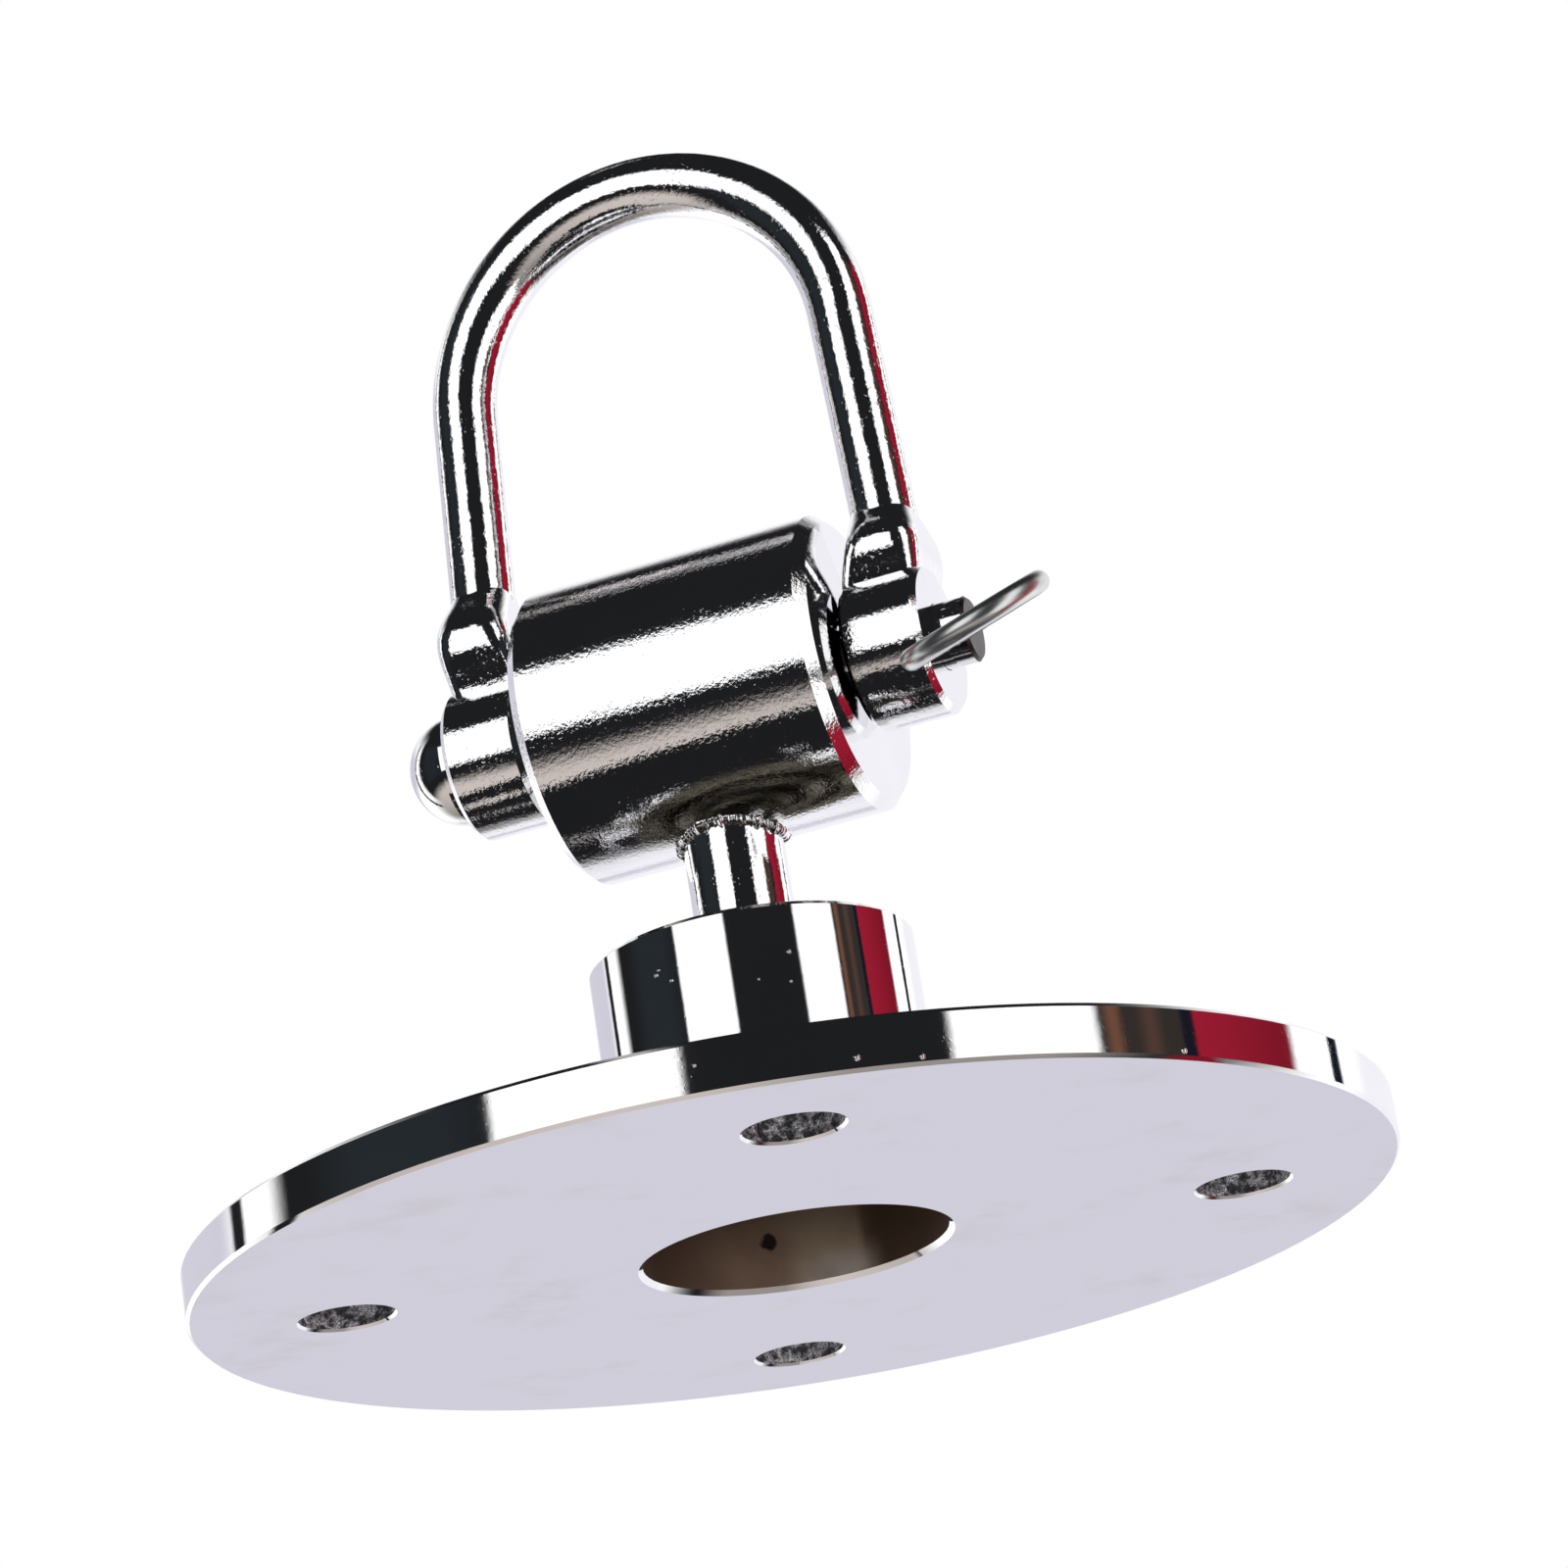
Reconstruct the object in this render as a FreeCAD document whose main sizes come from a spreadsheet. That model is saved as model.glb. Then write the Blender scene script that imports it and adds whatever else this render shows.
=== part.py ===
"""A swivelling ceiling hook: a round mounting flange with a bearing in its hub, a stem that turns in
that bearing, a cross barrel on the stem, and a forged shackle that swings on a clevis pin.

Millimetres and degrees. The origin is the centre of the mounting face, +Z points up into the
ceiling, and X runs along the clevis pin, with the pin's split cotter at the -X end."""

import FreeCAD, Part
import os

import Sketcher

Vector = FreeCAD.Vector

SIZES = {
    # mounting flange: a plate with four bolt holes and a hub that holds the bearing
    "plate_diameter": 140,
    "plate_thickness": 6,
    "rim_chamfer": 0.4,
    "rim_edge": 0.5,
    "bolt_circle": 104,
    "bolt_hole": 11,
    "bolt_count": 4,
    "bolt_turn_angle": -20.3,
    "hole_chamfer": 0.3,
    "hub_diameter": 38.4,
    "hub_depth": 36,
    "hub_floor": 4,
    "hub_edge": 0.5,
    "bore_diameter": 35.6,
    "bore_chamfer": 0.6,
    "seat_relief": 1,
    # ball bearing
    "bearing_outer": 35,
    "bearing_bore": 10,
    "bearing_width": 11,
    "bearing_chamfer": 0.6,
    "ball_diameter": 6.5,
    "ball_count": 7,
    "race_clearance": 0.06,
    "land_gap": 5,
    "cage_wall": 2.2,
    "cage_width": 8.4,
    "pocket_clearance": 0.15,
    "shield_thickness": 0.5,
    "shield_recess": 0.5,
    "shield_step": 0.6,
    "shield_clearance": 0.3,
    # stem with its washer and self-locking nut
    "stem_diameter": 12,
    "stem_clearance": 0.5,
    "stem_chamfer": 1,
    "socket_depth": 7,
    "thread_overrun": 2,
    "spigot_clearance": 0.03,
    "washer_diameter": 17,
    "washer_thickness": 2,
    "washer_clearance": 0.3,
    "nut_flats": 17,
    "nut_height": 10,
    "nut_hex_height": 7.4,
    "nut_collar": 14.6,
    "nut_corner_cut": 0.9,
    "insert_diameter": 12.6,
    "insert_height": 2.3,
    "nut_lip": 0.6,
    "weld_leg": 1.4,
    # cross barrel
    "pin_depth": 68.2,
    "barrel_diameter": 36.2,
    "barrel_length": 38,
    "barrel_chamfer": 1.3,
    "barrel_bore_chamfer": 0.5,
    # shackle
    "ear_gap": 1.8,
    "ear_thickness": 9.8,
    "ear_diameter": 18.4,
    "ear_chamfer": 0.7,
    "shackle_shift": 1.1,
    "rod_diameter": 8,
    "bow_radius": 25,
    "bow_depth": 43.4,
    "leg_spread": 26.5,
    "rod_top": 8,
    "head_side_neck": 22.6,
    "cotter_side_neck": 19,
    "neck_foot": 4,
    "neck_inset": 0.1,
    "root_width": 3.5,
    "root_corner": 3.3,
    "shoulder_drop": 3.6,
    "shoulder_width": 4.05,
    "shoulder_depth": 5,
    "crest_drop": 7.4,
    "crest_width": 4.6,
    "crest_depth": 7.1,
    "crest_corner": 3,
    "waist_share": 0.58,
    "waist_depth": 6.2,
    "waist_corner": 2.2,
    "foot_depth": 7,
    # clevis pin
    "pin_diameter": 8,
    "pin_clearance": 0.08,
    "pin_tail": 4.1,
    "pin_chamfer": 0.4,
    "head_diameter": 13.6,
    "head_flange": 1.2,
    "head_height": 7.4,
    # split cotter
    "cotter_hole": 3,
    "cotter_setback": 2.1,
    "cotter_width": 2.6,
    "cotter_slit": 0.12,
    "cotter_lean_angle": 154.9,
    "cotter_turn_angle": 195.7,
    "eye_diameter": 19.6,
    "eye_reach": 14.3,
    "eye_offset": 6.2,
    "eye_fillet": 2,
    "tail_straight": 4.6,
    "tail_bend_radius": 3,
    "tail_bend_angle": 28,
    "tail_length": 1.5,
    "short_leg": 6.4,
}

doc = FreeCAD.newDocument("ceiling_hook")
sheet = doc.addObject("Spreadsheet::Sheet", "sizes")
for row, (alias, number) in enumerate(SIZES.items(), start=1):
    sheet.set(f"A{row}", alias)
    sheet.set(f"B{row}", str(number))
    sheet.setAlias(f"B{row}", alias)
doc.recompute()

# Sizes that several pieces share, as formulas on the sheet
HUB_RADIUS = "sizes.hub_diameter / 2"
SEAT_RADIUS = "sizes.bearing_outer / 2"
SEAT_FLOOR = "(sizes.hub_depth - sizes.hub_floor)"
BEARING_TOP = f"({SEAT_FLOOR} - sizes.bearing_width)"
HALF_WIDTH = "sizes.bearing_width / 2"
PITCH_RADIUS = "(sizes.bearing_outer + sizes.bearing_bore) / 4"
INNER_LAND = f"({PITCH_RADIUS} - sizes.land_gap / 2)"
OUTER_LAND = f"({PITCH_RADIUS} + sizes.land_gap / 2)"
SHIELD_SEAT = f"({OUTER_LAND} + sizes.shield_step)"
SHIELD_DEPTH = f"({HALF_WIDTH} - sizes.shield_recess - sizes.shield_thickness)"
SPIGOT_RADIUS = "(sizes.bearing_bore / 2 - sizes.spigot_clearance)"
STEM_RADIUS = "sizes.stem_diameter / 2"
WASHER_TOP = f"({BEARING_TOP} - sizes.washer_thickness)"
STEM_TOP = f"({WASHER_TOP} - sizes.nut_height - sizes.thread_overrun)"
BARREL_RADIUS = "sizes.barrel_diameter / 2"
BARREL_TOP = f"(sizes.pin_depth - {BARREL_RADIUS})"
STEM_FOOT = f"({BARREL_TOP} + sizes.socket_depth)"
EAR_INNER = "(sizes.barrel_length / 2 + sizes.ear_gap)"
EAR_OUTER = f"({EAR_INNER} + sizes.ear_thickness)"
EAR_MIDDLE = f"({EAR_INNER} + sizes.ear_thickness / 2)"
PIN_RADIUS = "sizes.pin_diameter / 2"
PIN_BORE = f"({PIN_RADIUS} + sizes.pin_clearance)"
PIN_END = f"({EAR_OUTER} + sizes.pin_tail)"
COTTER_PLACE = f"({PIN_END} - sizes.cotter_setback)"
EYE_INNER = "(sizes.eye_diameter / 2 - sizes.cotter_width / 2)"
LEG_DROP = "(sizes.bow_depth - sizes.rod_top)"
LEG_LEAN = (
    f"(acos(sizes.bow_radius / sqrt(sizes.leg_spread ^ 2 + {LEG_DROP} ^ 2))"
    f" - atan({LEG_DROP} / sizes.leg_spread))"
)


def leg_place(height):
    """How far out the shackle's leg is, at a height measured from the pin."""
    return f"(sizes.leg_spread - ({height} - sizes.rod_top) * tan({LEG_LEAN}))"


def value(formula):
    """The number that a formula on the sheet gives."""
    return float(doc.getObject("gauge").evalExpression(formula))


doc.addObject("App::FeaturePython", "gauge")


def new_body(label):
    body = doc.addObject("PartDesign::Body", label)
    body.Label = label
    return body


def origin_feature(body, role):
    return next(item for item in body.Origin.OriginFeatures if item.Role == role)


def new_sketch(body, name, plane, lift=None, turn_axis=None, turn=None):
    """A sketch on one of the body's own planes, lifted along or turned about the plane's axes."""
    sketch = body.newObject("Sketcher::SketchObject", f"{body.Label}_{name}")
    sketch.AttachmentSupport = (origin_feature(body, plane), [""])
    sketch.MapMode = "FlatFace"
    if turn:
        sketch.AttachmentOffset = FreeCAD.Placement(Vector(), FreeCAD.Rotation(turn_axis, value(turn)))
        sketch.setExpression("AttachmentOffset.Rotation.Angle", turn)
    if lift:
        sketch.setExpression("AttachmentOffset.Base.z", lift)
    return sketch


def bind(sketch, kind, formula, *ends):
    """A dimension of a sketch that follows a formula on the sheet."""
    index = sketch.addConstraint(Sketcher.Constraint(kind, *ends, value(formula)))
    sketch.setExpression(f"Constraints[{index}]", formula)


def hold(sketch, geometry, point, place):
    """Holds a point of a sketch at a place measured from the sketch's origin."""
    bind(sketch, "DistanceX", place[0], -1, 1, geometry, point)
    bind(sketch, "DistanceY", place[1], -1, 1, geometry, point)


def add_outline(sketch, corners):
    """A closed outline of straight runs between corners, each a pair of formulas."""
    places = [Vector(value(x), value(y), 0) for x, y in corners]
    first = sketch.GeometryCount
    count = len(corners)
    for i, place in enumerate(places):
        sketch.addGeometry(Part.LineSegment(place, places[(i + 1) % count]), False)
    for i, corner in enumerate(corners):
        sketch.addConstraint(Sketcher.Constraint("Coincident", first + i, 2, first + (i + 1) % count, 1))
        hold(sketch, first + i, 1, corner)


def add_circle(sketch, centre, radius):
    place = Vector(value(centre[0]), value(centre[1]), 0)
    index = sketch.addGeometry(Part.Circle(place, Vector(0, 0, 1), value(radius)), False)
    hold(sketch, index, 3, centre)
    bind(sketch, "Radius", radius, index)


def revolve(body, sketch, axis, kind="PartDesign::Revolution"):
    """Turns a sketch about one of its own axes, adding or cutting."""
    feature = body.newObject(kind, f"{sketch.Name}_turned")
    feature.Profile = sketch
    feature.ReferenceAxis = (sketch, [axis])
    feature.Angle = 360
    return feature


def turned_body(label, corners, axis="V_Axis"):
    """A body turned from one closed outline in its XZ plane."""
    body = new_body(label)
    sketch = new_sketch(body, "section", "XZ_Plane")
    add_outline(sketch, corners)
    revolve(body, sketch, axis)
    return body


def cut_through(body, sketch):
    pocket = body.newObject("PartDesign::Pocket", f"{sketch.Name}_cut")
    pocket.Profile = sketch
    pocket.Type = "ThroughAll"
    pocket.Midplane = True
    return pocket


def polar_copies(body, feature, count):
    pattern = body.newObject("PartDesign::PolarPattern", f"{feature.Name}_round")
    pattern.Originals = [feature]
    pattern.Axis = (origin_feature(body, "Z_Axis"), [""])
    pattern.Angle = 360
    pattern.setExpression("Occurrences", count)
    body.Tip = pattern


def place_along(piece, **formulas):
    """Moves a piece along X, Y or Z by formulas on the sheet."""
    for axis, formula in formulas.items():
        piece.setExpression(f"Placement.Base.{axis}", formula)


# Mounting flange, turned in one piece with its hub
def make_flange():
    plate = "sizes.plate_diameter / 2"
    bore = "sizes.bore_diameter / 2"
    shaft_hole = f"({STEM_RADIUS} + sizes.stem_clearance)"
    body = turned_body("mounting_flange", [
        (f"{bore} + sizes.bore_chamfer", "0"),
        (f"{plate} - sizes.rim_chamfer", "0"),
        (plate, "-sizes.rim_chamfer"),
        (plate, "sizes.rim_edge - sizes.plate_thickness"),
        (f"{plate} - sizes.rim_edge", "-sizes.plate_thickness"),
        (HUB_RADIUS, "-sizes.plate_thickness"),
        (HUB_RADIUS, "sizes.hub_edge - sizes.hub_depth"),
        (f"{HUB_RADIUS} - sizes.hub_edge", "-sizes.hub_depth"),
        (shaft_hole, "-sizes.hub_depth"),
        (shaft_hole, f"-{SEAT_FLOOR} - sizes.seat_relief"),
        (OUTER_LAND, f"-{SEAT_FLOOR} - sizes.seat_relief"),
        (OUTER_LAND, f"-{SEAT_FLOOR}"),
        (SEAT_RADIUS, f"-{SEAT_FLOOR}"),
        (SEAT_RADIUS, f"-{BEARING_TOP} + sizes.seat_relief"),
        (bore, f"-{BEARING_TOP} + sizes.seat_relief"),
        (bore, "-sizes.bore_chamfer"),
    ])
    upright = Vector(0, 1, 0)
    sketch = new_sketch(body, "bolt_hole", "XZ_Plane", turn_axis=upright, turn="sizes.bolt_turn_angle")
    middle = "sizes.bolt_circle / 2"
    wall = f"{middle} + sizes.bolt_hole / 2"
    mouth = f"{wall} + sizes.hole_chamfer"
    add_outline(sketch, [
        (middle, "0"),
        (mouth, "0"),
        (wall, "-sizes.hole_chamfer"),
        (wall, "sizes.hole_chamfer - sizes.plate_thickness"),
        (mouth, "-sizes.plate_thickness"),
        (middle, "-sizes.plate_thickness"),
    ])
    hole = body.newObject("PartDesign::Groove", "bolt_hole_turned")
    hole.Profile = sketch
    hole.ReferenceAxis = (sketch, ["Edge6"])
    hole.Angle = 360
    polar_copies(body, hole, "sizes.bolt_count")
    return body


# Ball bearing, each piece drawn about the bearing's middle plane
def make_bearing():
    outer = turned_body("bearing_outer_ring", [
        (SHIELD_SEAT, f"-{HALF_WIDTH}"),
        (f"{SEAT_RADIUS} - sizes.bearing_chamfer", f"-{HALF_WIDTH}"),
        (SEAT_RADIUS, f"sizes.bearing_chamfer - {HALF_WIDTH}"),
        (SEAT_RADIUS, f"{HALF_WIDTH} - sizes.bearing_chamfer"),
        (f"{SEAT_RADIUS} - sizes.bearing_chamfer", HALF_WIDTH),
        (SHIELD_SEAT, HALF_WIDTH),
        (SHIELD_SEAT, SHIELD_DEPTH),
        (OUTER_LAND, SHIELD_DEPTH),
        (OUTER_LAND, f"-{SHIELD_DEPTH}"),
        (SHIELD_SEAT, f"-{SHIELD_DEPTH}"),
    ])
    bore = "sizes.bearing_bore / 2"
    inner = turned_body("bearing_inner_ring", [
        (f"{bore} + sizes.bearing_chamfer", f"-{HALF_WIDTH}"),
        (INNER_LAND, f"-{HALF_WIDTH}"),
        (INNER_LAND, HALF_WIDTH),
        (f"{bore} + sizes.bearing_chamfer", HALF_WIDTH),
        (bore, f"{HALF_WIDTH} - sizes.bearing_chamfer"),
        (bore, f"sizes.bearing_chamfer - {HALF_WIDTH}"),
    ])
    for ring in (outer, inner):
        race = new_sketch(ring, "race", "XZ_Plane")
        add_circle(race, (PITCH_RADIUS, "0"), "sizes.ball_diameter / 2 + sizes.race_clearance")
        revolve(ring, race, "V_Axis", "PartDesign::Groove")

    cage = turned_body("bearing_cage", [
        (f"{PITCH_RADIUS} - sizes.cage_wall / 2", "-sizes.cage_width / 2"),
        (f"{PITCH_RADIUS} + sizes.cage_wall / 2", "-sizes.cage_width / 2"),
        (f"{PITCH_RADIUS} + sizes.cage_wall / 2", "sizes.cage_width / 2"),
        (f"{PITCH_RADIUS} - sizes.cage_wall / 2", "sizes.cage_width / 2"),
    ])
    window = new_sketch(cage, "pocket", "YZ_Plane")
    add_circle(window, ("0", "0"), "sizes.ball_diameter / 2 + sizes.pocket_clearance")
    pocket = cage.newObject("PartDesign::Pocket", "cage_pocket")
    pocket.Profile = window
    pocket.Reversed = True
    pocket.setExpression("Length", SEAT_RADIUS)
    polar_copies(cage, pocket, "sizes.ball_count")

    shields = []
    for label, side in (("bearing_shield_upper", ""), ("bearing_shield_lower", "-")):
        inner_edge = f"{INNER_LAND} + sizes.shield_clearance"
        shields.append(turned_body(label, [
            (inner_edge, f"{side}{SHIELD_DEPTH}"),
            (SHIELD_SEAT, f"{side}{SHIELD_DEPTH}"),
            (SHIELD_SEAT, f"{side}({SHIELD_DEPTH} + sizes.shield_thickness)"),
            (inner_edge, f"{side}({SHIELD_DEPTH} + sizes.shield_thickness)"),
        ]))

    balls = []
    for i in range(int(value("sizes.ball_count"))):
        ball = doc.addObject("Part::Sphere", f"ball_{i + 1}")
        ball.setExpression("Radius", "sizes.ball_diameter / 2")
        place_along(
            ball,
            x=f"{PITCH_RADIUS} * cos({i} * 360 deg / sizes.ball_count)",
            y=f"{PITCH_RADIUS} * sin({i} * 360 deg / sizes.ball_count)",
        )
        balls.append(ball)
    ball_set = doc.addObject("Part::Compound", "bearing_balls")
    ball_set.Links = balls

    pieces = [outer, inner, cage, ball_set, *shields]
    for piece in pieces:
        place_along(piece, z=f"{HALF_WIDTH} - {SEAT_FLOOR}")
    return pieces


# Washer, self-locking nut and its nylon ring, each drawn upwards from its lower face
def make_nut():
    washer_bore = f"{SPIGOT_RADIUS} + sizes.washer_clearance"
    washer = turned_body("stem_washer", [
        (washer_bore, "0"),
        ("sizes.washer_diameter / 2", "0"),
        ("sizes.washer_diameter / 2", "sizes.washer_thickness"),
        (washer_bore, "sizes.washer_thickness"),
    ])
    place_along(washer, z=f"-{BEARING_TOP}")

    nut = new_body("lock_nut")
    hexagon = new_sketch(nut, "hexagon", "XY_Plane")
    corner = "sizes.nut_flats / sqrt(3)"
    turns = [f"{60 * i} deg" for i in range(6)]
    add_outline(hexagon, [(f"{corner} * cos({turn})", f"{corner} * sin({turn})") for turn in turns])
    prism = nut.newObject("PartDesign::Pad", "nut_prism")
    prism.Profile = hexagon
    prism.setExpression("Length", "sizes.nut_hex_height")

    thread = f"({SPIGOT_RADIUS} + sizes.spigot_clearance)"
    seat = "sizes.insert_diameter / 2"
    seat_floor = "(sizes.nut_height - sizes.nut_lip - sizes.insert_height)"
    seat_top = "(sizes.nut_height - sizes.nut_lip)"
    collar = new_sketch(nut, "collar", "XZ_Plane")
    add_outline(collar, [
        (thread, seat_floor),
        ("sizes.nut_collar / 2", seat_floor),
        ("sizes.nut_collar / 2", seat_top),
        (f"{seat} - sizes.nut_lip", "sizes.nut_height"),
        (thread, "sizes.nut_height"),
    ])
    revolve(nut, collar, "V_Axis")

    bore = new_sketch(nut, "bore", "XZ_Plane")
    add_outline(bore, [
        ("0", "0"),
        (thread, "0"),
        (thread, seat_floor),
        (seat, seat_floor),
        (seat, seat_top),
        (f"{seat} - sizes.nut_lip", seat_top),
        (f"{seat} - sizes.nut_lip", "sizes.nut_height"),
        ("0", "sizes.nut_height"),
    ])
    revolve(nut, bore, "V_Axis", "PartDesign::Groove")

    corners = new_sketch(nut, "corner_cuts", "XZ_Plane")
    outside = f"{corner} + sizes.nut_corner_cut"
    across = f"{corner} - 2 * sizes.nut_corner_cut"
    add_outline(corners, [(across, "0"), (outside, "0"), (outside, "1.5 * sizes.nut_corner_cut")])
    revolve(nut, corners, "V_Axis", "PartDesign::Groove")
    place_along(nut, z=f"-{WASHER_TOP}")

    insert = turned_body("nut_insert", [
        (thread, seat_floor),
        (seat, seat_floor),
        (seat, seat_top),
        (thread, seat_top),
    ])
    place_along(insert, z=f"-{WASHER_TOP}")
    return [washer, nut, insert]


# Stem: a threaded spigot above the shoulder, a plain shaft below it, welded into the barrel
def make_stem():
    stem = turned_body("swivel_stem", [
        ("0", f"-{STEM_TOP}"),
        (f"{SPIGOT_RADIUS} - sizes.stem_chamfer", f"-{STEM_TOP}"),
        (SPIGOT_RADIUS, f"-{STEM_TOP} - sizes.stem_chamfer"),
        (SPIGOT_RADIUS, f"-{SEAT_FLOOR}"),
        (STEM_RADIUS, f"-{SEAT_FLOOR}"),
        (STEM_RADIUS, f"sizes.stem_chamfer - {STEM_FOOT}"),
        (f"{STEM_RADIUS} - sizes.stem_chamfer", f"-{STEM_FOOT}"),
        ("0", f"-{STEM_FOOT}"),
    ])

    bead = doc.addObject("Part::Cone", "weld_cone")
    bead.setExpression("Radius1", f"{STEM_RADIUS} + 2 * sizes.weld_leg")
    bead.setExpression("Radius2", STEM_RADIUS)
    bead.setExpression("Height", "2 * sizes.weld_leg")
    place_along(bead, z=f"-{BARREL_TOP} - sizes.weld_leg")
    shaft = doc.addObject("Part::Cylinder", "weld_shaft")
    shaft.setExpression("Radius", STEM_RADIUS)
    shaft.setExpression("Height", "2 * sizes.weld_leg")
    place_along(shaft, z=f"-{BARREL_TOP} - sizes.weld_leg")
    ring = doc.addObject("Part::Cut", "weld_ring")
    ring.Base = bead
    ring.Tool = shaft
    cylinder = doc.addObject("Part::Cylinder", "weld_barrel")
    cylinder.Placement.Rotation = FreeCAD.Rotation(Vector(0, 1, 0), 90)
    cylinder.setExpression("Radius", BARREL_RADIUS)
    cylinder.setExpression("Height", "sizes.barrel_length")
    place_along(cylinder, x="-sizes.barrel_length / 2", z="-sizes.pin_depth")
    weld = doc.addObject("Part::Cut", "stem_weld")
    weld.Base = ring
    weld.Tool = cylinder
    return [stem, weld]


# Barrel, turned about X, with the pin's bore and a socket for the stem
def make_barrel():
    half = "sizes.barrel_length / 2"
    edge = "sizes.barrel_chamfer"
    lip = "sizes.barrel_bore_chamfer"
    barrel = turned_body("swivel_barrel", [
        (f"-{half}", f"{PIN_BORE} + {lip}"),
        (f"-{half}", f"{BARREL_RADIUS} - {edge}"),
        (f"{edge} - {half}", BARREL_RADIUS),
        (f"{half} - {edge}", BARREL_RADIUS),
        (half, f"{BARREL_RADIUS} - {edge}"),
        (half, f"{PIN_BORE} + {lip}"),
        (f"{half} - {lip}", PIN_BORE),
        (f"{lip} - {half}", PIN_BORE),
    ], "H_Axis")
    mouth = new_sketch(barrel, "socket", "XY_Plane", lift=f"{BARREL_RADIUS} - sizes.socket_depth")
    add_circle(mouth, ("0", "0"), STEM_RADIUS)
    socket = barrel.newObject("PartDesign::Pocket", "stem_socket")
    socket.Profile = mouth
    socket.Reversed = True
    socket.setExpression("Length", "2 * sizes.socket_depth")
    place_along(barrel, z="-sizes.pin_depth")
    return barrel


# A level section through a neck: a rectangle of half width and half depth, with round corners
def make_section(body, name, height, middle, width, depth, corner):
    sketch = new_sketch(body, name, "XY_Plane", lift=f"-{height}")
    x, half, deep, bend = value(middle), value(width), value(depth), value(corner)
    flat, side = half - bend, deep - bend
    runs = [
        (Vector(x - flat, -deep, 0), Vector(x + flat, -deep, 0)),
        (Vector(x + half, -side, 0), Vector(x + half, side, 0)),
        (Vector(x + flat, deep, 0), Vector(x - flat, deep, 0)),
        (Vector(x - half, side, 0), Vector(x - half, -side, 0)),
    ]
    turns = [(x + flat, -side), (x + flat, side), (x - flat, side), (x - flat, -side)]
    for i, run in enumerate(runs):
        sketch.addGeometry(Part.LineSegment(*run), False)
        centre = Vector(*turns[i], 0)
        outward = (run[1] - centre + runs[(i + 1) % 4][0] - centre).normalize()
        sketch.addGeometry(Part.Arc(run[1], centre + outward * bend, runs[(i + 1) % 4][0]), False)
    for i in range(4):
        sketch.addConstraint(Sketcher.Constraint("Tangent", 2 * i, 2, 2 * i + 1, 1))
        sketch.addConstraint(Sketcher.Constraint("Tangent", 2 * i + 1, 2, (2 * i + 2) % 8, 1))
        sketch.addConstraint(Sketcher.Constraint("Horizontal" if i % 2 == 0 else "Vertical", 2 * i))
    hold(sketch, 1, 3, (f"{middle} + {width} - {corner}", f"{corner} - {depth}"))
    hold(sketch, 5, 3, (f"{middle} - {width} + {corner}", f"{depth} - {corner}"))
    bind(sketch, "Radius", corner, 1)
    for i in (3, 5, 7):
        sketch.addConstraint(Sketcher.Constraint("Equal", 1, i))
    return sketch


# One end of the shackle: the rod swells into a broad neck, which narrows and runs into a drilled eye
def make_ear(body, side, name):
    top = f"sizes.{name}_neck"
    shoulder = f"({top} - sizes.shoulder_drop)"
    crest = f"({top} - sizes.crest_drop)"
    foot = "sizes.neck_foot"
    waist = f"({foot} + sizes.waist_share * ({crest} - {foot}))"
    ear = f"{side}{EAR_MIDDLE}"
    ear_width = "(sizes.ear_thickness / 2 - sizes.neck_inset)"
    levels = [
        ("root", top, f"{side}{leg_place(top)}", "sizes.root_width", "sizes.root_width", "root"),
        ("shoulder", shoulder, f"{side}{leg_place(shoulder)}", "sizes.shoulder_width",
         "sizes.shoulder_depth", "root"),
        ("crest", crest, f"{side}{leg_place(crest)}", "sizes.crest_width", "sizes.crest_depth", "crest"),
        ("waist", waist, ear, ear_width, "sizes.waist_depth", "waist"),
        ("foot", foot, ear, ear_width, "sizes.foot_depth", "waist"),
    ]
    sections = []
    for level, height, middle, width, depth, corner in levels:
        corner = f"sizes.{corner}_corner"
        sections.append(make_section(body, f"{name}_{level}", height, middle, width, depth, corner))
    neck = body.newObject("PartDesign::AdditiveLoft", f"{name}_neck")
    neck.Profile = sections[0]
    neck.Sections = sections[1:]

    boss = new_sketch(body, f"{name}_eye", "XZ_Plane")
    rim = "sizes.ear_diameter / 2"
    add_outline(boss, [
        (f"{side}{EAR_INNER}", "0"),
        (f"{side}{EAR_INNER}", f"{rim} - sizes.ear_chamfer"),
        (f"{side}({EAR_INNER} + sizes.ear_chamfer)", rim),
        (f"{side}({EAR_OUTER} - sizes.ear_chamfer)", rim),
        (f"{side}{EAR_OUTER}", f"{rim} - sizes.ear_chamfer"),
        (f"{side}{EAR_OUTER}", "0"),
    ])
    revolve(body, boss, "H_Axis")


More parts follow.
